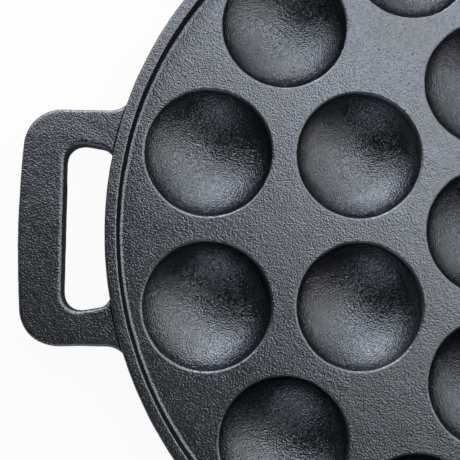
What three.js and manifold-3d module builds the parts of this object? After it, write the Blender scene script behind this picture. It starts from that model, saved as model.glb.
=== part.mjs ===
// Poffertjes pan: a round cast-iron griddle with nineteen half-round cups, a raised rim and two loop handles.
// Millimetres, +Z up. The origin is the middle of the footprint, on the surface that the pan stands on.
// The pan is one casting. Its members are separate solids here, seated face to face where the iron runs on.
import * as THREE from 'three';
import { mergeVertices } from 'three/addons/utils/BufferGeometryUtils.js';
import Module from 'manifold-3d';

const wasm = await Module();
wasm.setup();

// Driving dimensions: the cups
const cupMouthRadius = 20.8; // where the bowl would meet the plate's top without its rounded lip
const cupDepth = 12.5; // from the plate's top to the lowest point inside
const cupRise = 3; // the bowl's oval is widest this far above the plate's top, so its wall is steep at the mouth
const cupWall = 4.2; // width of the bowl's iron where it hangs from the plate
const cupFloor = 3.2; // iron under the lowest point
const cupPadRadius = 7; // flat spot under each bowl
const cupLift = 0.5; // the bowls stay this far off the surface, so that the pan stands on its foot ring alone
const cupLand = 7.9; // flat iron between the mouths of neighbouring cups
const lipRound = 1.2; // rounding of each mouth

// Driving dimensions: plate, rim and foot ring
const plateThickness = 4;
const edgeLand = 4.1; // flat iron between the outer cups and the rim
const rimHeight = 5;
const rimWidth = 3.75; // across the rim's top
const rimFillet = 0.6; // where the rim's inner wall meets the plate
const rimRound = 0.9; // top edges of the rim
const rimLean = THREE.MathUtils.degToRad(8.5); // the rim's inner wall leans outwards
const draftAngle = THREE.MathUtils.degToRad(5); // taper of the upright walls, so that the casting leaves its mould
const footWall = 4;
const footRound = 0.9; // lower edges of the foot ring

// Driving dimensions: the handles
const handleReach = 27; // from the rim's outside to the outer edge of the bar
const handleSpan = 74.8; // along the bar, over both arms
const handleBar = 14; // width of the bar that the hand holds
const handleArm = 9.95; // width of the two arms beside the bar
const armFlare = THREE.MathUtils.degToRad(9.5); // the arms widen towards the pan, so their inner edges slant
const handleThickness = 8;
const handleDrop = 2; // the handle's top lies this far below the rim's top
const handleBowRadius = 350; // the bar's outer edge is a shallow arc
const handleCorner = 12; // outer corners of the bar
const gapCorner = 5.5; // corners of the finger gap beside the bar
const gapFillet = 4.5; // corners of the finger gap beside the pan
const rootFillet = 7; // where the arms run out into the pan's wall
const handleRound = 1.2; // rounding of the handle's edges
const handleParting = 0.3; // clearance between the handles and the tapered wall

// How finely round forms are divided
const cupSegments = 20;
const cupArcSteps = 4;
const mouthArcSteps = 2;
const panSegments = 64;
const roundSteps = 2;
const handleCurveSteps = 3;
const sameSpot = 0.001; // points of an outline that lie closer than this are one point

// Cup pattern: one in the middle, then rings whose neighbours are one pitch apart
const cupPitch = 2 * cupMouthRadius + cupLand;
const ringRadius = (count) => cupPitch / (2 * Math.sin(Math.PI / count));
const cupRings = [
  { name: 'cup_inner', count: 6, firstAngle: Math.PI / 6 },
  { name: 'cup_outer', count: 12, firstAngle: Math.PI / 12 },
];
const cupPlaces = [{ name: 'cup_center', x: 0, y: 0 }];
for (const ring of cupRings) {
  for (let i = 0; i < ring.count; i += 1) {
    const angle = ring.firstAngle + (2 * Math.PI * i) / ring.count;
    const radius = ringRadius(ring.count);
    cupPlaces.push({ name: `${ring.name}_${i + 1}`, x: radius * Math.cos(angle), y: radius * Math.sin(angle) });
  }
}
const outerRingRadius = ringRadius(cupRings.at(-1).count);

// Heights above the surface that the pan stands on
const cupBottom = cupLift + cupFloor;
const plateTop = cupBottom + cupDepth;
const plateUnder = plateTop - plateThickness;
const rimTop = plateTop + rimHeight;
const handleTop = rimTop - handleDrop;
const handleUnder = handleTop - handleThickness;

// Radii of the round body
const rimInnerFoot = outerRingRadius + cupMouthRadius + edgeLand;
const rimInnerTop = rimInnerFoot + rimHeight * Math.tan(rimLean);
const panRadius = rimInnerTop + rimWidth;
const wallRadius = (z) => panRadius - (rimTop - z) * Math.tan(draftAngle);

// The inside of a cup is part of a turned oval: nearly flat at the bottom, steep at the mouth
const bowlHalfHeight = cupDepth + cupRise;
const bowlHalfWidth = cupMouthRadius / Math.sqrt(1 - (cupRise / bowlHalfHeight) ** 2);
const bowlCenter = cupBottom + bowlHalfHeight;
const bowlAngleAt = (z) => -Math.asin((bowlCenter - z) / bowlHalfHeight);
const bowlRadiusAt = (z) => bowlHalfWidth * Math.cos(bowlAngleAt(z));

// A closed profile whose corners are rounded. Each corner is [radius from the axis, height, rounding].
function roundedProfile(corners) {
  const profile = [];
  corners.forEach(([r, z, rounding = 0], i) => {
    const corner = new THREE.Vector2(r, z);
    if (rounding === 0) {
      profile.push(corner);
      return;
    }
    const before = new THREE.Vector2(...corners.at(i - 1).slice(0, 2));
    const after = new THREE.Vector2(...corners[(i + 1) % corners.length].slice(0, 2));
    const start = before.sub(corner).setLength(rounding).add(corner);
    const end = after.sub(corner).setLength(rounding).add(corner);
    profile.push(...new THREE.QuadraticBezierCurve(start, corner, end).getPoints(roundSteps));
  });
  return [...profile, profile[0].clone()];
}

// Points of a profile along an oval whose centre lies on the axis.
function ovalProfile(centerHeight, halfWidth, halfHeight, fromAngle, toAngle, steps) {
  const clockwise = toAngle < fromAngle;
  const oval = new THREE.EllipseCurve(0, centerHeight, halfWidth, halfHeight, fromAngle, toAngle, clockwise);
  return oval.getPoints(steps);
}

// Turns a profile round the Z axis.
function turned(profile, segments) {
  return new THREE.LatheGeometry(profile, segments).rotateX(Math.PI / 2);
}

// A closed geometry as a solid that can be joined and cut.
function solidOf(geometry) {
  const bare = geometry.clone();
  bare.deleteAttribute('normal');
  bare.deleteAttribute('uv');
  const welded = mergeVertices(bare);
  const triangles = [];
  for (let i = 0; i < welded.index.count; i += 3) {
    const [a, b, c] = welded.index.array.subarray(i, i + 3);
    if (a !== b && b !== c && c !== a) triangles.push(a, b, c);
  }
  return new wasm.Manifold(new wasm.Mesh({
    numProp: 3,
    vertProperties: new Float32Array(welded.attributes.position.array),
    triVerts: new Uint32Array(triangles),
  }));
}

// The geometry of a solid.
function geometryOf(solid) {
  const mesh = solid.getMesh();
  const geometry = new THREE.BufferGeometry();
  geometry.setAttribute('position', new THREE.BufferAttribute(mesh.vertProperties, mesh.numProp));
  geometry.setIndex(new THREE.BufferAttribute(mesh.triVerts, 1));
  return geometry;
}

// Sand-cast iron, seasoned dark
function castIron(color, roughness) {
  return new THREE.MeshStandardMaterial({ color, roughness, metalness: 0.6 });
}

const pan = new THREE.Group();

function addMember(name, geometry, material) {
  const member = new THREE.Mesh(geometry, material);
  member.name = name;
  pan.add(member);
  return member;
}

// The plate: a disc with tapered edge, cut by the mouth of every cup
function cupMouthCutter() {
  const above = plateTop + lipRound;
  const below = plateUnder - lipRound;
  const lipFoot = plateTop - lipRound;
  const lipOuter = cupMouthRadius + lipRound;
  const lip = new THREE.QuadraticBezierCurve(
    new THREE.Vector2(bowlRadiusAt(lipFoot), lipFoot),
    new THREE.Vector2(cupMouthRadius, plateTop),
    new THREE.Vector2(lipOuter, plateTop),
  );
  const wallFoot = bowlAngleAt(below);
  const wallTop = bowlAngleAt(lipFoot);
  return solidOf(turned([
    new THREE.Vector2(0, below),
    ...ovalProfile(bowlCenter, bowlHalfWidth, bowlHalfHeight, wallFoot, wallTop, mouthArcSteps),
    ...lip.getPoints(roundSteps).slice(1),
    new THREE.Vector2(lipOuter, above),
    new THREE.Vector2(0, above),
  ], cupSegments));
}

function griddlePlate() {
  const disc = solidOf(turned([
    new THREE.Vector2(0, plateUnder),
    new THREE.Vector2(wallRadius(plateUnder), plateUnder),
    new THREE.Vector2(wallRadius(plateTop), plateTop),
    new THREE.Vector2(0, plateTop),
  ], panSegments));
  const cutter = cupMouthCutter();
  return geometryOf(cupPlaces.reduce((plate, { x, y }) => plate.subtract(cutter.translate([x, y, 0])), disc));
}

addMember('griddle_plate', griddlePlate(), castIron('#474a50', 0.55));

// The rim stands on the plate's edge
const rimProfile = roundedProfile([
  [rimInnerFoot - rimFillet, plateTop],
  [wallRadius(plateTop), plateTop],
  [panRadius, rimTop, rimRound],
  [rimInnerTop, rimTop, rimRound],
  [rimInnerFoot, plateTop, rimFillet],
]);
addMember('rim', turned(rimProfile, panSegments), castIron('#4b4e54', 0.5));

// The foot ring carries the plate's edge
const footProfile = roundedProfile([
  [wallRadius(0) - footWall, 0, footRound],
  [wallRadius(0), 0, footRound],
  [wallRadius(plateUnder), plateUnder],
  [wallRadius(plateUnder) - footWall, plateUnder],
]);
addMember('foot_ring', turned(footProfile, panSegments), castIron('#3c3f44', 0.65));

// The bowls hang from the plate's underside, each with a flat spot below
function cupBowl() {
  const mouthRadius = bowlRadiusAt(plateUnder);
  const outerRadius = mouthRadius + cupWall;
  const padEdge = new THREE.Vector2(cupPadRadius, cupLift);
  const shellCenter = (outerRadius ** 2 - padEdge.x ** 2 + plateUnder ** 2 - padEdge.y ** 2)
    / (2 * (plateUnder - padEdge.y));
  const shellRadius = Math.hypot(padEdge.x, shellCenter - padEdge.y);
  const padAngle = Math.atan2(padEdge.y - shellCenter, padEdge.x);
  const hangAngle = Math.atan2(plateUnder - shellCenter, outerRadius);
  const seatAngle = bowlAngleAt(plateUnder);
  const lowest = -Math.PI / 2;
  const outside = ovalProfile(shellCenter, shellRadius, shellRadius, padAngle, hangAngle, cupArcSteps);
  const inside = ovalProfile(bowlCenter, bowlHalfWidth, bowlHalfHeight, seatAngle, lowest, cupArcSteps);
  return turned([
    new THREE.Vector2(0, cupLift),
    ...outside,
    ...inside.slice(0, -1),
    new THREE.Vector2(0, cupBottom),
  ], cupSegments);
}

for (const { name, x, y } of cupPlaces) {
  addMember(name, cupBowl(), castIron('#3a3c41', 0.5)).position.set(x, y, 0);
}

// The handles: flat bars that leave a finger gap and run out into the pan's wall
function handleOutline() {
  const wall = wallRadius((handleTop + handleUnder) / 2);
  const reach = panRadius + handleReach;
  const outer = handleSpan / 2;
  const inner = outer - handleArm;
  const barInside = reach - handleBar;
  const bowCenter = reach - handleBowRadius;
  const cornerY = outer - handleCorner;
  const cornerX = bowCenter + Math.sqrt((handleBowRadius - handleCorner) ** 2 - cornerY ** 2);
  const bowAngle = Math.atan2(cornerY, cornerX - bowCenter);
  const rootY = outer + rootFillet;
  const rootX = Math.sqrt((wall + rootFillet) ** 2 - rootY ** 2);
  const rootAngle = Math.atan2(rootY, -rootX);
  const sunk = wall / 2; // the arms start well inside the wall and are cut back to it
  const right = Math.PI / 2;
  const slant = right + armFlare;

  // Each corner of the gap is a circle that touches the arm's slanted edge, and the wall or the bar
  const alongArm = new THREE.Vector2(Math.cos(armFlare), Math.sin(armFlare));
  const intoGap = new THREE.Vector2(alongArm.y, -alongArm.x);
  const gap = new THREE.Vector2(barInside, inner).addScaledVector(intoGap, gapFillet);
  const run = gap.dot(alongArm);
  const fromBar = Math.sqrt(run ** 2 - gap.lengthSq() + (wall + gapFillet) ** 2) - run;
  gap.addScaledVector(alongArm, fromBar);
  const gapAngle = Math.PI + gap.angle();
  const insideX = barInside - gapCorner;
  const insideY = inner - (gapCorner * (1 + Math.sin(armFlare))) / Math.cos(armFlare);

  const outline = new THREE.Shape();
  outline.moveTo(sunk, -rootY);
  outline.absarc(rootX, -rootY, rootFillet, rootAngle, right, true);
  outline.absarc(cornerX, -cornerY, handleCorner, -right, -bowAngle, false);
  outline.absarc(bowCenter, 0, handleBowRadius, -bowAngle, bowAngle, false);
  outline.absarc(cornerX, cornerY, handleCorner, bowAngle, right, false);
  outline.absarc(rootX, rootY, rootFillet, -right, -rootAngle, true);
  outline.lineTo(sunk, rootY);
  outline.lineTo(sunk, gap.y);
  outline.absarc(gap.x, gap.y, gapFillet, gapAngle, slant, true);
  outline.absarc(insideX, insideY, gapCorner, slant, 0, true);
  outline.absarc(insideX, -insideY, gapCorner, 0, -slant, true);
  outline.absarc(gap.x, -gap.y, gapFillet, -slant, -gapAngle, true);
  outline.lineTo(sunk, -gap.y);
  const points = outline.getPoints(handleCurveSteps);
  return new THREE.Shape(points.filter((point, i) => point.distanceTo(points.at(i - 1)) > sameSpot));
}

function loopHandle() {
  const bar = new THREE.ExtrudeGeometry(handleOutline(), {
    depth: handleThickness - 2 * handleRound,
    bevelThickness: handleRound,
    bevelSize: handleRound,
    bevelOffset: -handleRound,
    bevelSegments: roundSteps,
  }).translate(0, 0, handleUnder + handleRound);
  const body = turned([
    new THREE.Vector2(0, 0),
    new THREE.Vector2(wallRadius(0) + handleParting, 0),
    new THREE.Vector2(panRadius + handleParting, rimTop),
    new THREE.Vector2(0, rimTop),
  ], panSegments);
  return geometryOf(solidOf(bar).subtract(solidOf(body)));
}

addMember('handle_right', loopHandle(), castIron('#3e4146', 0.6));
addMember('handle_left', loopHandle(), castIron('#3e4146', 0.6)).rotation.z = Math.PI;

export default pan;
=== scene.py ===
# %% [markdown]
# # A cast-iron poffertjes pan
#
# The pan is one sand casting: a flat round plate with nineteen half-round cups, a raised rim, an outer wall
# that it stands on, and two loop handles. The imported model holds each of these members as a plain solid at
# its real size. This lesson makes a fine mesh for every one of them, in the same place, and gives them all
# one finish of seasoned iron, so that they read as one casting again.

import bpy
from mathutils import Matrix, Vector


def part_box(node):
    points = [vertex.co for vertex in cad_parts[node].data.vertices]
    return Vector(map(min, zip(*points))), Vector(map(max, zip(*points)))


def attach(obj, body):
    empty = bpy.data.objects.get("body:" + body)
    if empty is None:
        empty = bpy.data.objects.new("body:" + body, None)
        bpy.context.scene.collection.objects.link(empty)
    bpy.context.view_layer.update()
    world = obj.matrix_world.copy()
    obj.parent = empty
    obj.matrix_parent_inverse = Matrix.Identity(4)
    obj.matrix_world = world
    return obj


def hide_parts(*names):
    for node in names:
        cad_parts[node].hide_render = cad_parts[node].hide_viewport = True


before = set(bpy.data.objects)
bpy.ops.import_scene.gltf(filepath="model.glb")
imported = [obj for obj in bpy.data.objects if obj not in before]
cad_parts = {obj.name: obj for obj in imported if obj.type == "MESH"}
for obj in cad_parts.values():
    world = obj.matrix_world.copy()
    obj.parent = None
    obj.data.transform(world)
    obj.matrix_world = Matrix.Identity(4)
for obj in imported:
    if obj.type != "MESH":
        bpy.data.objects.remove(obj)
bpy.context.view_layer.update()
print("members:", ", ".join(sorted(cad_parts)))

# %% [markdown]
# ## Sizes
#
# Most sizes are read from the solids' boxes, so the meshes stay where the solids are. What a box can't tell,
# such as the rounding of an edge or the width of a handle's arm, is named once, here or beside its piece.
# Everything is in metres.

# %% Sizes from the solids, and the few that a box can't tell
import math

import bpy
from mathutils import Matrix, Vector

MM = 0.001

plate_low, plate_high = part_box("griddle_plate")
bowl_low, bowl_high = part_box("cup_center")
handle_low, handle_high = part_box("handle_right")
rim_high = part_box("rim")[1]

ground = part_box("foot_ring")[0].z
plate_top = plate_high.z
plate_under = plate_low.z
rim_top = rim_high.z
pan_radius = rim_high.x
wall_taper = (pan_radius - plate_high.x) / (rim_top - plate_top)

cup_mouth_radius = 20.8 * MM
cup_rise = 3 * MM
cup_floor = 3.2 * MM
cup_pad_radius = 7 * MM
lip_round = 1.1 * MM

cup_nodes = sorted(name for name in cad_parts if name.startswith("cup_"))
cup_places = {}
for node in cup_nodes:
    low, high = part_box(node)
    cup_places[node] = Vector(((low.x + high.x) / 2, (low.y + high.y) / 2, 0))


def wall_radius(height):
    """Radius of the pan's tapered outer wall at a height."""
    return pan_radius - (rim_top - height) * wall_taper


print(f"pan {2 * pan_radius / MM:.1f} mm across, {rim_top / MM:.1f} mm high, {len(cup_places)} cups")

# %% [markdown]
# ## Drawing a line and turning it
#
# A pattern maker turns round patterns on a lathe, and Blender's Spin does the same: a profile is drawn from
# the axis outwards and swept once round. A profile is drawn as by hand, from one point that is extruded from
# corner to corner. Spin could also be a Screw modifier, but then the seam would have to be closed in a second
# step.

# %% Helpers for drawn lines
WELD = 0.0005 * MM


def oval_arc(center, half_width, half_height, start, end, steps):
    """Points on an oval from one angle to another, in degrees, counted from the first axis to the second."""
    points = []
    for step in range(steps + 1):
        angle = math.radians(start + (end - start) * step / steps)
        points.append((center[0] + half_width * math.cos(angle), center[1] + half_height * math.sin(angle)))
    return points


def arc(center, radius, start, end, steps):
    """Points on a circle from one angle to another."""
    return oval_arc(center, radius, radius, start, end, steps)


def rounded(before, corner, after, radius, steps):
    """A corner of a line, rounded by a circle that touches both of its sides."""
    corner = Vector(corner)
    arriving = (Vector(before) - corner).normalized()
    leaving = (Vector(after) - corner).normalized()
    half_angle = arriving.angle(leaving) / 2
    center = corner + (arriving + leaving).normalized() * (radius / math.sin(half_angle))
    reach = radius / math.tan(half_angle)
    first = corner + arriving * reach - center
    sweep = first.angle_signed(corner + leaving * reach - center)
    points = []
    for step in range(steps + 1):
        points.append(center + Matrix.Rotation(-sweep * step / steps, 2) @ first)
    return points


def draw_line(name, points):
    """A new object in edit mode: one point, extruded along the line."""
    bpy.ops.object.select_all(action="DESELECT")
    bpy.ops.mesh.primitive_plane_add(size=1)
    line = bpy.context.object
    line.name = name
    bpy.ops.object.mode_set(mode="EDIT")
    bpy.ops.mesh.merge(type="CENTER")
    bpy.ops.transform.translate(value=points[0])
    for start, end in zip(points, points[1:]):
        bpy.ops.mesh.extrude_region_move(TRANSFORM_OT_translate={"value": end - start})
    bpy.ops.mesh.select_all(action="SELECT")
    return line


def close_up():
    """Welds the seams of what is selected in edit mode, turns its faces outwards and leaves edit mode."""
    bpy.ops.mesh.select_all(action="SELECT")
    bpy.ops.mesh.remove_doubles(threshold=WELD)
    bpy.ops.mesh.normals_make_consistent(inside=False)
    bpy.ops.object.mode_set(mode="OBJECT")


def turned(name, profile, steps):
    """A drawn profile, given as radius and height, spun once round the Z axis."""
    piece = draw_line(name, [Vector((radius, 0, height)) for radius, height in profile])
    bpy.ops.mesh.spin(steps=steps, angle=2 * math.pi, center=(0, 0, 0), axis=(0, 0, 1))
    close_up()
    return piece


def copied(piece, name, place):
    """A copy with its own mesh, moved to a place that is then applied to its mesh."""
    bpy.ops.object.select_all(action="DESELECT")
    piece.select_set(True)
    bpy.context.view_layer.objects.active = piece
    bpy.ops.object.duplicate()
    copy = bpy.context.object
    copy.name = name
    copy.location = place
    bpy.ops.object.transform_apply(location=True, rotation=False, scale=False)
    return copy


def apply_modifier(piece, kind, **settings):
    """Adds a modifier with these settings and applies it at once."""
    bpy.ops.object.select_all(action="DESELECT")
    piece.select_set(True)
    bpy.context.view_layer.objects.active = piece
    modifier = piece.modifiers.new(kind.lower(), kind)
    for setting, value in settings.items():
        setattr(modifier, setting, value)
    bpy.ops.object.modifier_apply(modifier=modifier.name)


# %% [markdown]
# ## The bowls
#
# The inside of a cup is part of an oval that is widest a little above the plate, so the bottom is nearly
# flat and the wall is steep at the mouth. Its iron hangs from the plate's underside and ends in a small flat.
# One bowl is turned on the origin and copied to the nineteen places. A squashed UV sphere cut in half would
# do for the inside, but the profile gives the wall, the flat and the seat under the plate in one go.

# %% Turn one bowl and copy it
cup_segments = 96
bowl_steps = 28
shell_steps = 16
pad_bevel = 0.6 * MM

cup_bottom = bowl_low.z + cup_floor
cup_depth = plate_top - cup_bottom
bowl_half_height = cup_depth + cup_rise
bowl_half_width = cup_mouth_radius / math.sqrt(1 - (cup_rise / bowl_half_height) ** 2)
bowl_center = cup_bottom + bowl_half_height
shell_radius_at_plate = bowl_high.x


def bowl_angle(height):
    """Angle of the oval, in degrees, at which the bowl's inside reaches a height."""
    return -math.degrees(math.asin((bowl_center - height) / bowl_half_height))


def bowl_inside(start, end, steps):
    """Points on the bowl's inside from one angle of its oval to another."""
    return oval_arc((0, bowl_center), bowl_half_width, bowl_half_height, start, end, steps)


def bowl_profile():
    """From the lowest point inside, over the seat under the plate, down the outside to the flat."""
    pad_height = bowl_low.z
    shell_center = (
        shell_radius_at_plate**2 - cup_pad_radius**2 + plate_under**2 - pad_height**2
    ) / (2 * (plate_under - pad_height))
    shell_radius = math.hypot(cup_pad_radius, shell_center - pad_height)
    hang_angle = math.degrees(math.atan2(plate_under - shell_center, shell_radius_at_plate))
    pad_angle = math.degrees(math.atan2(pad_height - shell_center, cup_pad_radius))
    inside = bowl_inside(-90, bowl_angle(plate_under), bowl_steps)
    outside = arc((0, shell_center), shell_radius, hang_angle, pad_angle, shell_steps)
    flat = [(cup_pad_radius - pad_bevel, pad_height), (0, pad_height)]
    return [(0, cup_bottom)] + inside[1:] + outside + flat


first_bowl = turned("bowl", bowl_profile(), cup_segments)
castings = {}
for node, place in cup_places.items():
    castings[node] = copied(first_bowl, f"{node}_casting", place)
bpy.data.objects.remove(first_bowl)
print("bowl depth", round(cup_depth / MM, 1), "mm, faces", len(castings["cup_center"].data.polygons))

# %% [markdown]
# ## The plate
#
# The plate starts as a fine grid that is extruded to its thickness, so that its flat faces have points all
# over and can later be uneven like a real casting. Two Boolean cuts give it its shape: a turned blank trims
# it round, and nineteen turned cutters take out the cup mouths with their rounded lips. The lip's circle
# stands a hair proud of the plate, so that the cut crosses the top face at a clear angle and not along it.

# %% Cut the plate from a grid
grid_cells = 120
wall_segments = 256
mouth_steps = 14
lip_proud = 0.02 * MM
lip_steps = 9
halvings = 40
overshoot = 2 * MM


def lip_place():
    """The circle that rounds a cup's mouth: its centre, the oval's angle where it touches the bowl, and the
    direction from the bowl to the centre there, in degrees.

    The angle is found by halving: the higher the circle touches, the higher its centre lies.
    """
    height = plate_top - lip_round + lip_proud
    low, high = -90.0, 0.0
    for _ in range(halvings):
        touch = (low + high) / 2
        angle = math.radians(touch)
        outward = Vector((math.cos(angle) / bowl_half_width, math.sin(angle) / bowl_half_height)).normalized()
        if bowl_center + bowl_half_height * math.sin(angle) + lip_round * outward.y < height:
            low = touch
        else:
            high = touch
    center = (bowl_half_width * math.cos(angle) + lip_round * outward.x, height)
    return center, touch, math.degrees(math.atan2(outward.y, outward.x))


def mouth_profile():
    """The cutter for one cup mouth: bowl, lip, then straight up past the plate."""
    lip_center, touch, outward = lip_place()
    below = plate_under - overshoot
    above = plate_top + overshoot
    wall = bowl_inside(bowl_angle(below), touch, mouth_steps)
    lip = arc(lip_center, lip_round, 180 + outward, 90, lip_steps)
    return [(0, below)] + wall + lip[1:] + [(lip_center[0], above), (0, above)]


def plate_slab():
    """A square slab of the plate's thickness, with grid points all over."""
    bpy.ops.object.select_all(action="DESELECT")
    bpy.ops.mesh.primitive_grid_add(
        x_subdivisions=grid_cells, y_subdivisions=grid_cells, size=2 * pan_radius + 2 * overshoot
    )
    slab = bpy.context.object
    bpy.ops.object.mode_set(mode="EDIT")
    bpy.ops.transform.translate(value=(0, 0, plate_under))
    bpy.ops.mesh.extrude_region_move(TRANSFORM_OT_translate={"value": (0, 0, plate_top - plate_under)})
    close_up()
    return slab


plate = plate_slab()
plate.name = "griddle_plate_casting"
below, above = plate_under - overshoot, plate_top + overshoot
blank_profile = [(0, below), (wall_radius(below), below), (wall_radius(above), above), (0, above)]
blank = turned("round_blank", blank_profile, wall_segments)
apply_modifier(plate, "BOOLEAN", operation="INTERSECT", object=blank, solver="EXACT")

cutter = turned("mouth_cutter", mouth_profile(), cup_segments)
cutters = [copied(cutter, f"mouth_cutter_{node}", place) for node, place in cup_places.items()]
bpy.ops.object.select_all(action="DESELECT")
for piece in cutters:
    piece.select_set(True)
bpy.context.view_layer.objects.active = cutters[0]
bpy.ops.object.join()
apply_modifier(plate, "BOOLEAN", operation="DIFFERENCE", object=cutters[0], solver="EXACT")
for tool in (blank, cutter, cutters[0]):
    bpy.data.objects.remove(tool)
castings["griddle_plate"] = plate
print("plate faces", len(plate.data.polygons))

# %% [markdown]
# ## Rim and foot ring
#
# Both are rings, so their profiles close on themselves. The rim has a flat top with rounded edges and a
# fillet where its inner wall meets the plate. The foot ring carries on the same tapered wall down to the
# table.

# %% Turn the rim and the foot ring
rim_width = 3.75 * MM
rim_inner_lean = 0.75 * MM
rim_outer_round = 0.9 * MM
rim_inner_round = 0.55 * MM
rim_fillet = 1.1 * MM
foot_width = 4 * MM
foot_round = 0.9 * MM
round_steps = 8


def rim_profile():
    """From the fillet on the plate up the inner wall, over the top and down the outer wall."""
    inner_top = (pan_radius - rim_width, rim_top)
    outer_top = (pan_radius, rim_top)
    inner_foot = (inner_top[0] - rim_inner_lean, plate_top)
    plate_inside = (inner_foot[0] - 2 * rim_fillet, plate_top)
    outer_foot = (wall_radius(plate_top), plate_top)
    profile = rounded(plate_inside, inner_foot, inner_top, rim_fillet, round_steps)
    profile += rounded(inner_foot, inner_top, outer_top, rim_inner_round, round_steps)
    profile += rounded(inner_top, outer_top, outer_foot, rim_outer_round, round_steps)
    return profile + [outer_foot, profile[0]]


def foot_profile():
    """Up the outer wall, under the plate, down the inner wall and round the edge that stands on the table."""
    outer_top = (wall_radius(plate_under), plate_under)
    inner_top = (outer_top[0] - foot_width, plate_under)
    outer_foot = (wall_radius(ground), ground)
    inner_foot = (outer_foot[0] - foot_width, ground)
    profile = rounded(inner_top, inner_foot, outer_foot, foot_round, round_steps)
    profile += rounded(inner_foot, outer_foot, outer_top, foot_round, round_steps)
    return profile + [outer_top, inner_top, profile[0]]


castings["rim"] = turned("rim_casting", rim_profile(), wall_segments)
castings["foot_ring"] = turned("foot_ring_casting", foot_profile(), wall_segments)
print("rim faces", len(castings["rim"].data.polygons), "foot faces", len(castings["foot_ring"].data.polygons))

# %% [markdown]
# ## The loop handles
#
# A handle is a flat bar on two arms that run out into the pan's wall. Its outline is drawn with true arcs,
# filled, extruded to the bar's thickness and bevelled. A voxel Remesh and a little smoothing then give it
# points all over and the soft, slightly worn edges of a casting. The arms start inside the wall, so no gap
# shows at their roots, and a turned ring cuts the fine crease where their tops meet the wall.

# %% Draw one handle and turn a copy to the other side
handle_span = 74.8 * MM
handle_bar = 14 * MM
handle_arm = 9.95 * MM
arm_flare = math.radians(9.5)
handle_bow_radius = 350 * MM
handle_corner = 12 * MM
gap_corner = 5.5 * MM
gap_fillet = 4.5 * MM
root_fillet = 7 * MM
root_depth = 2.5 * MM
crease_width = 0.55 * MM
crease_depth = 0.8 * MM
corner_steps = 12
handle_round = 1.0 * MM
handle_round_segments = 6
sharp_edge = math.radians(60)
handle_voxel = 0.4 * MM
worn_factor = 0.5
worn_rounds = 4


def half_outline():
    """The half of the outline with positive Y, from the bar's outer middle round to its inner middle."""
    wall = wall_radius((handle_low.z + handle_high.z) / 2)
    reach = handle_high.x
    outer = handle_span / 2
    inner = outer - handle_arm
    bow_center = reach - handle_bow_radius
    corner_y = outer - handle_corner
    corner_x = bow_center + math.sqrt((handle_bow_radius - handle_corner) ** 2 - corner_y**2)
    bow_angle = math.degrees(math.atan2(corner_y, corner_x - bow_center))
    root_y = outer + root_fillet
    root_x = math.sqrt((wall + root_fillet) ** 2 - root_y**2)
    root_angle = math.degrees(math.atan2(root_y, root_x))
    bar_inside = reach - handle_bar
    along_arm = Vector((math.cos(arm_flare), math.sin(arm_flare)))
    into_gap = Vector((along_arm.y, -along_arm.x))
    offset = Vector((bar_inside, inner)) + gap_fillet * into_gap
    run = offset.dot(along_arm)
    way_to_wall = math.sqrt(run**2 - offset.length_squared + (wall + gap_fillet) ** 2) - run
    gap_center = offset + way_to_wall * along_arm
    gap_angle = math.degrees(math.atan2(gap_center.y, gap_center.x))
    corner_drop = gap_corner * (1 + math.sin(arm_flare)) / math.cos(arm_flare)
    inner_center = (bar_inside - gap_corner, inner - corner_drop)
    meet_angle = 90 + math.degrees(arm_flare)
    bow = arc((bow_center, 0), handle_bow_radius, 0, bow_angle, corner_steps)
    corner = arc((corner_x, corner_y), handle_corner, bow_angle, 90, corner_steps)
    root = arc((root_x, root_y), root_fillet, -90, root_angle - 180, corner_steps)
    sunk = arc((0, 0), wall - root_depth, root_angle, gap_angle, corner_steps)
    fillet = arc(gap_center, gap_fillet, 180 + gap_angle, meet_angle, corner_steps)
    inner_corner = arc(inner_center, gap_corner, meet_angle, 0, corner_steps)
    return bow + corner[1:] + root + sunk + fillet + inner_corner + [(bar_inside, 0)]


def crease_profile():
    """A ring with a slanted foot, which cuts the crease between the pan's wall and the handle's top."""
    top = handle_high.z
    wall = wall_radius(top)
    foot, above = top - crease_depth, top + overshoot
    inside = wall - overshoot
    outside = wall + (above - foot) * crease_width / crease_depth
    return [(inside, foot), (wall, foot), (outside, above), (inside, above), (inside, foot)]


def loop_handle(name):
    """Fills and extrudes the outline, rounds its edges, gives it points all over and cuts its crease."""
    half = half_outline()
    outline = half + [(x, -y) for x, y in reversed(half)]
    handle = draw_line(name, [Vector((x, y, handle_low.z)) for x, y in outline])
    bpy.ops.mesh.remove_doubles(threshold=WELD)
    bpy.ops.mesh.edge_face_add()
    bpy.ops.mesh.extrude_region_move(
        TRANSFORM_OT_translate={"value": (0, 0, handle_high.z - handle_low.z)}
    )
    bpy.ops.mesh.select_all(action="DESELECT")
    bpy.ops.mesh.edges_select_sharp(sharpness=sharp_edge)
    bpy.ops.mesh.bevel(offset=handle_round, segments=handle_round_segments, affect="EDGES")
    close_up()
    apply_modifier(handle, "REMESH", mode="VOXEL", voxel_size=handle_voxel)
    apply_modifier(handle, "SMOOTH", factor=worn_factor, iterations=worn_rounds)
    crease = turned("crease_cutter", crease_profile(), wall_segments)
    apply_modifier(handle, "BOOLEAN", operation="DIFFERENCE", object=crease, solver="EXACT")
    bpy.data.objects.remove(crease)
    return handle


castings["handle_right"] = loop_handle("handle_right_casting")
castings["handle_left"] = copied(castings["handle_right"], "handle_left_casting", (0, 0, 0))
bpy.ops.transform.rotate(value=math.pi, orient_axis="Z", center_override=(0, 0, 0))
bpy.ops.object.transform_apply(location=True, rotation=True, scale=False)
print("handle faces", len(castings["handle_left"].data.polygons))

# %% [markdown]
# ## The unevenness of a sand casting
#
# Nothing on a sand casting is quite true: edges wander and flat faces dip by a tenth of a millimetre. A
# Displace modifier moves every point by a cloud texture, and takes its three directions from the texture's
# three colours. The shift depends on a point's place alone, so members that meet stay together.

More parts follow.
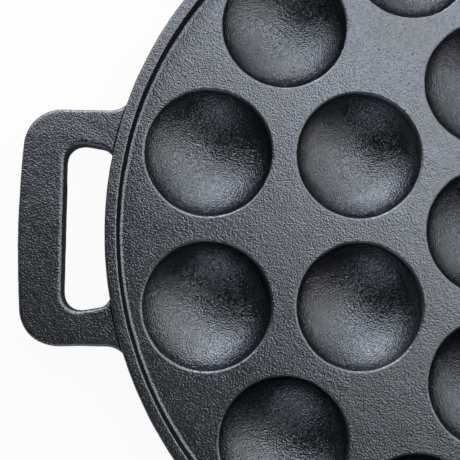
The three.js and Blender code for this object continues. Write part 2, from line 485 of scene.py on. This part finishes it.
# %% Make every member a little uneven
uneven_scale = 9 * MM
uneven_depth = 2
uneven_shift = 0.28 * MM
smooth_angle = math.radians(38)

sand_mould = bpy.data.textures.new("sand_mould", "CLOUDS")
sand_mould.noise_scale = uneven_scale
sand_mould.noise_depth = uneven_depth
sand_mould.cloud_type = "COLOR"

for piece in castings.values():
    apply_modifier(
        piece, "DISPLACE", texture=sand_mould, direction="RGB_TO_XYZ", mid_level=0.5, strength=uneven_shift
    )
    bpy.ops.object.shade_smooth_by_angle(angle=smooth_angle)
apply_modifier(plate, "WEIGHTED_NORMAL", mode="FACE_AREA", keep_sharp=True)
print("uneven members:", len(castings))

# %% [markdown]
# ## Shader maths as plain expressions
#
# A material is a tree of nodes. Sums and products of changing values are easier to read as Python, so one
# small class wraps a socket and turns + - * into Math nodes. Every other node comes from one function.

# %% A wrapped socket and one way to add a node
class Wire:
    """An output socket. Arithmetic on it adds Math nodes to its tree."""

    def __init__(self, socket):
        self.socket = socket

    def math(self, operation, first, second):
        tree = self.socket.id_data
        return add_node(tree, "ShaderNodeMath", {"operation": operation}, {0: first, 1: second})["Value"]

    def __add__(self, other):
        return self.math("ADD", self, other)

    def __radd__(self, other):
        return self.math("ADD", other, self)

    def __sub__(self, other):
        return self.math("SUBTRACT", self, other)

    def __mul__(self, other):
        return self.math("MULTIPLY", self, other)

    def __rmul__(self, other):
        return self.math("MULTIPLY", other, self)


def add_node(tree, kind, settings, inputs):
    """Adds a node with its settings and a value or a wire for each named socket, and gives its outputs."""
    node = tree.nodes.new(kind)
    for setting, value in settings.items():
        setattr(node, setting, value)
    for name, value in inputs.items():
        if isinstance(value, Wire):
            tree.links.new(value.socket, node.inputs[name])
        else:
            node.inputs[name].default_value = value
    return {socket.name: Wire(socket) for socket in node.outputs if socket.enabled}


def new_material(name):
    """An empty node material, with its tree."""
    material = bpy.data.materials.new(name)
    material.use_nodes = True
    material.node_tree.nodes.clear()
    return material, material.node_tree


# %% [markdown]
# ## Seasoned iron
#
# Sand leaves its grain on the iron, about half a millimetre from bump to bump, with shallow dimples and
# small pits among it. The iron is dark blue-grey with warmer patches. A film of baked oil gives it a dull
# sheen, and in the cups, where it is thickest, more gloss and a stronger grain. Painted shade darkens the
# colour below the plate's top, on upright walls, told from flat faces by the height of the surface's
# normal, and in the pits.
#
# Grain, dimples and pits are a Bump, because they are far finer than the mesh. Patches feed the colour and
# the roughness. The patterns read Object coordinates, and every member sits at the origin, so the grain runs
# on from one member to the next.

# %% The finish of the whole casting
grain_scale, grain_detail = 2000, 0.5
grain_height = 0.18 * MM
cup_grain_height = 0.26 * MM
dimple_scale, dimple_detail = 260, 2
dimple_height = 0.06 * MM
pit_scale, pit_detail = 1500, 1
pit_depth = 0.03 * MM
pit_start, pit_full = 0.58, 0.72
# Painted shade in the pits of the grain.
pit_shade_share = 0.2
# Below the plate's top, in the cups and under the plate: more gloss and grain, and painted shade in the
# colour.
film_and_shade_start, film_and_shade_full = plate_top - 0.3 * MM, plate_top - 2.5 * MM
film_shade_share = 0.12
film_gloss = 0.07
# Painted shade on upright walls, which grow darker as the surface's normal tips over.
wall_shade_start, wall_shade_full = 0.55, 0.15
wall_shade_share = 0.3
patch_scale, patch_detail = 38, 3
fine_roughness = 0.5
patchy_roughness = 0.6
iron_blue = (0.150, 0.169, 0.202, 1)
iron_brown = (0.162, 0.171, 0.187, 1)
# The black that the painted shade mixes into the colour.
painted_shade_black = (0.012, 0.012, 0.013, 1)
iron_roughness = 0.29
patch_roughness = 0.10
edge_tint = (0.1, 0.1, 0.1, 1)


def seasoned_iron():
    """Dark cast iron with a sandy grain and a baked film of oil, with painted shade in its pits, below the
    plate's top and on its upright walls.
    """
    material, tree = new_material("seasoned_iron")
    place = add_node(tree, "ShaderNodeTexCoord", {}, {})["Object"]
    facing = add_node(tree, "ShaderNodeNewGeometry", {}, {})["Normal"]

    def noise(scale, detail, roughness):
        sockets = {"Vector": place, "Scale": scale, "Detail": detail, "Roughness": roughness}
        return add_node(tree, "ShaderNodeTexNoise", {}, sockets)["Fac"]

    def ramp(value, start, full):
        sockets = {"Value": value, "From Min": start, "From Max": full}
        return add_node(tree, "ShaderNodeMapRange", {"interpolation_type": "SMOOTHSTEP"}, sockets)["Result"]

    def mixed(share, first, second):
        sockets = {"Factor": share, 6: first, 7: second}
        return add_node(tree, "ShaderNodeMix", {"data_type": "RGBA"}, sockets)["Result"]

    def height_of(vector):
        return add_node(tree, "ShaderNodeSeparateXYZ", {}, {"Vector": vector})["Z"]

    grain = noise(grain_scale, grain_detail, fine_roughness)
    dimples = noise(dimple_scale, dimple_detail, fine_roughness)
    patches = noise(patch_scale, patch_detail, patchy_roughness)
    pits = ramp(noise(pit_scale, pit_detail, fine_roughness), pit_start, pit_full)
    film_and_shade = ramp(height_of(place), film_and_shade_start, film_and_shade_full)
    upright_shade = ramp(height_of(facing), wall_shade_start, wall_shade_full)
    grain_here = grain_height + (cup_grain_height - grain_height) * film_and_shade
    height = grain_here * grain + dimple_height * dimples - pit_depth * pits
    normal = add_node(tree, "ShaderNodeBump", {}, {"Distance": 1.0, "Height": height})["Normal"]
    bare_iron = mixed(patches, iron_blue, iron_brown)
    # Painted shade: the colour goes towards black in the pits, below the plate's top and on upright walls.
    color = mixed(pit_shade_share * pits + film_shade_share * film_and_shade + wall_shade_share * upright_shade, bare_iron, painted_shade_black)
    shader = add_node(
        tree,
        "ShaderNodeBsdfPrincipled",
        {},
        {
            "Base Color": color,
            "Roughness": iron_roughness + patch_roughness * patches - film_gloss * film_and_shade,
            "Normal": normal,
            "Metallic": 1.0,
            "Specular Tint": edge_tint,
        },
    )["BSDF"]
    add_node(tree, "ShaderNodeOutputMaterial", {"target": "ALL"}, {"Surface": shader})
    return material


iron = seasoned_iron()
for node, piece in castings.items():
    piece.data.materials.clear()
    piece.data.materials.append(iron)
    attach(piece, "root")
    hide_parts(node)
print("finish:", iron.name, "on", len(castings), "members")

# %% [markdown]
# ## Floor, light and camera
#
# The pan lies on a plain white sweep: a floor whose edge curves up into a backdrop. The camera, the metal
# and anything clear see its paper as nearly plain white, while a small share of real paper keeps the pan's
# shadow.
#
# The bright sides of the cups tell where the light is: a soft wall of it from the right round to the back,
# low down, with more of it overhead and a weak fill from the front. So there are a few large soft lamps and
# a dim room. One dome of light would be simpler, but it would leave the cups flat.

# %% A white sweep
floor_radius = 6.0
sweep_radius = 0.8
sweep_height = 0.9
sweep_steps = 12
sweep_segments = 64
paper_color = (0.85, 0.85, 0.85, 1)
plain_white = (1, 1, 1, 1)
white_share = 0.94


def white_sweep():
    """A round floor whose edge curves up into a backdrop."""
    bend = arc((floor_radius - sweep_radius, sweep_radius), sweep_radius, -90, 0, sweep_steps)
    sweep = turned("white_sweep", [(0, 0)] + bend + [(floor_radius, sweep_height)], sweep_segments)
    bpy.ops.object.mode_set(mode="EDIT")
    bpy.ops.mesh.select_all(action="SELECT")
    bpy.ops.mesh.normals_make_consistent(inside=True)
    bpy.ops.object.mode_set(mode="OBJECT")
    bpy.ops.object.shade_smooth()
    material, tree = new_material("white_paper")
    path = add_node(tree, "ShaderNodeLightPath", {}, {})
    seen = path["Is Camera Ray"] + path["Is Glossy Ray"] + path["Is Transmission Ray"]
    paper = add_node(tree, "ShaderNodeBsdfDiffuse", {}, {"Color": paper_color})["BSDF"]
    white = add_node(tree, "ShaderNodeEmission", {}, {"Color": plain_white, "Strength": 1.0})["Emission"]
    surface = add_node(tree, "ShaderNodeMixShader", {}, {0: white_share * seen, 1: paper, 2: white})["Shader"]
    add_node(tree, "ShaderNodeOutputMaterial", {"target": "ALL"}, {"Surface": surface})
    sweep.data.materials.append(material)


white_sweep()
print("floor", 2 * floor_radius, "m across")

# %% Lamps and a dim room
lamp_target = Vector((-0.05, 0, plate_top))
lamp_distance = 0.8
neutral = (1, 1, 1)
warm = (1, 0.95, 0.89)
cool = (0.88, 0.95, 1)
room_color = (0.006, 0.006, 0.0065, 1)


def soft_lamp(name, azimuth, elevation, width, height, power, color):
    """A rectangular lamp that faces the pan from a direction, counted from +X towards +Y."""
    turn, rise = math.radians(azimuth), math.radians(elevation)
    direction = Vector((math.cos(rise) * math.cos(turn), math.cos(rise) * math.sin(turn), math.sin(rise)))
    bpy.ops.object.light_add(type="AREA", location=lamp_target + lamp_distance * direction)
    lamp = bpy.context.object
    lamp.name = name
    lamp.rotation_euler = direction.to_track_quat("Z", "Y").to_euler()
    lamp.visible_camera = False
    lamp.data.shape = "RECTANGLE"
    lamp.data.size = width
    lamp.data.size_y = height
    lamp.data.energy = power
    lamp.data.color = color
    print(name, "at", azimuth, "degrees round and", elevation, "degrees up")


soft_lamp("lamp_right", azimuth=10, elevation=18, width=0.9, height=0.4, power=3.1, color=warm)
soft_lamp("lamp_behind", azimuth=85, elevation=14, width=0.9, height=0.36, power=4.6, color=neutral)
soft_lamp("lamp_behind_left", azimuth=122, elevation=30, width=0.75, height=0.55, power=3.3, color=neutral)
soft_lamp("lamp_over", azimuth=55, elevation=60, width=0.7, height=0.35, power=2.5, color=neutral)
soft_lamp("lamp_over_right", azimuth=345, elevation=60, width=0.3, height=0.3, power=0.65, color=warm)
soft_lamp("lamp_front", azimuth=255, elevation=31, width=0.35, height=0.2, power=0.6, color=cool)

world = bpy.data.worlds.new("dim_room")
world.use_nodes = True
world.node_tree.nodes["Background"].inputs["Color"].default_value = room_color
bpy.context.scene.world = world

# %% The camera
picture_width = 460
focal_pixels = 700
sensor_width = 36.0
near_clip = 0.01
camera_place = (-0.0979, -0.0160, 0.2408)
camera_turn = (3.959, -3.252, 0.441)

bpy.ops.object.camera_add(location=camera_place, rotation=[math.radians(angle) for angle in camera_turn])
camera = bpy.context.object
camera.data.sensor_width = sensor_width
camera.data.lens = sensor_width * focal_pixels / picture_width
camera.data.clip_start = near_clip
bpy.context.scene.camera = camera
bpy.context.scene.view_settings.view_transform = "Standard"
print("lens", round(camera.data.lens, 1), "mm")
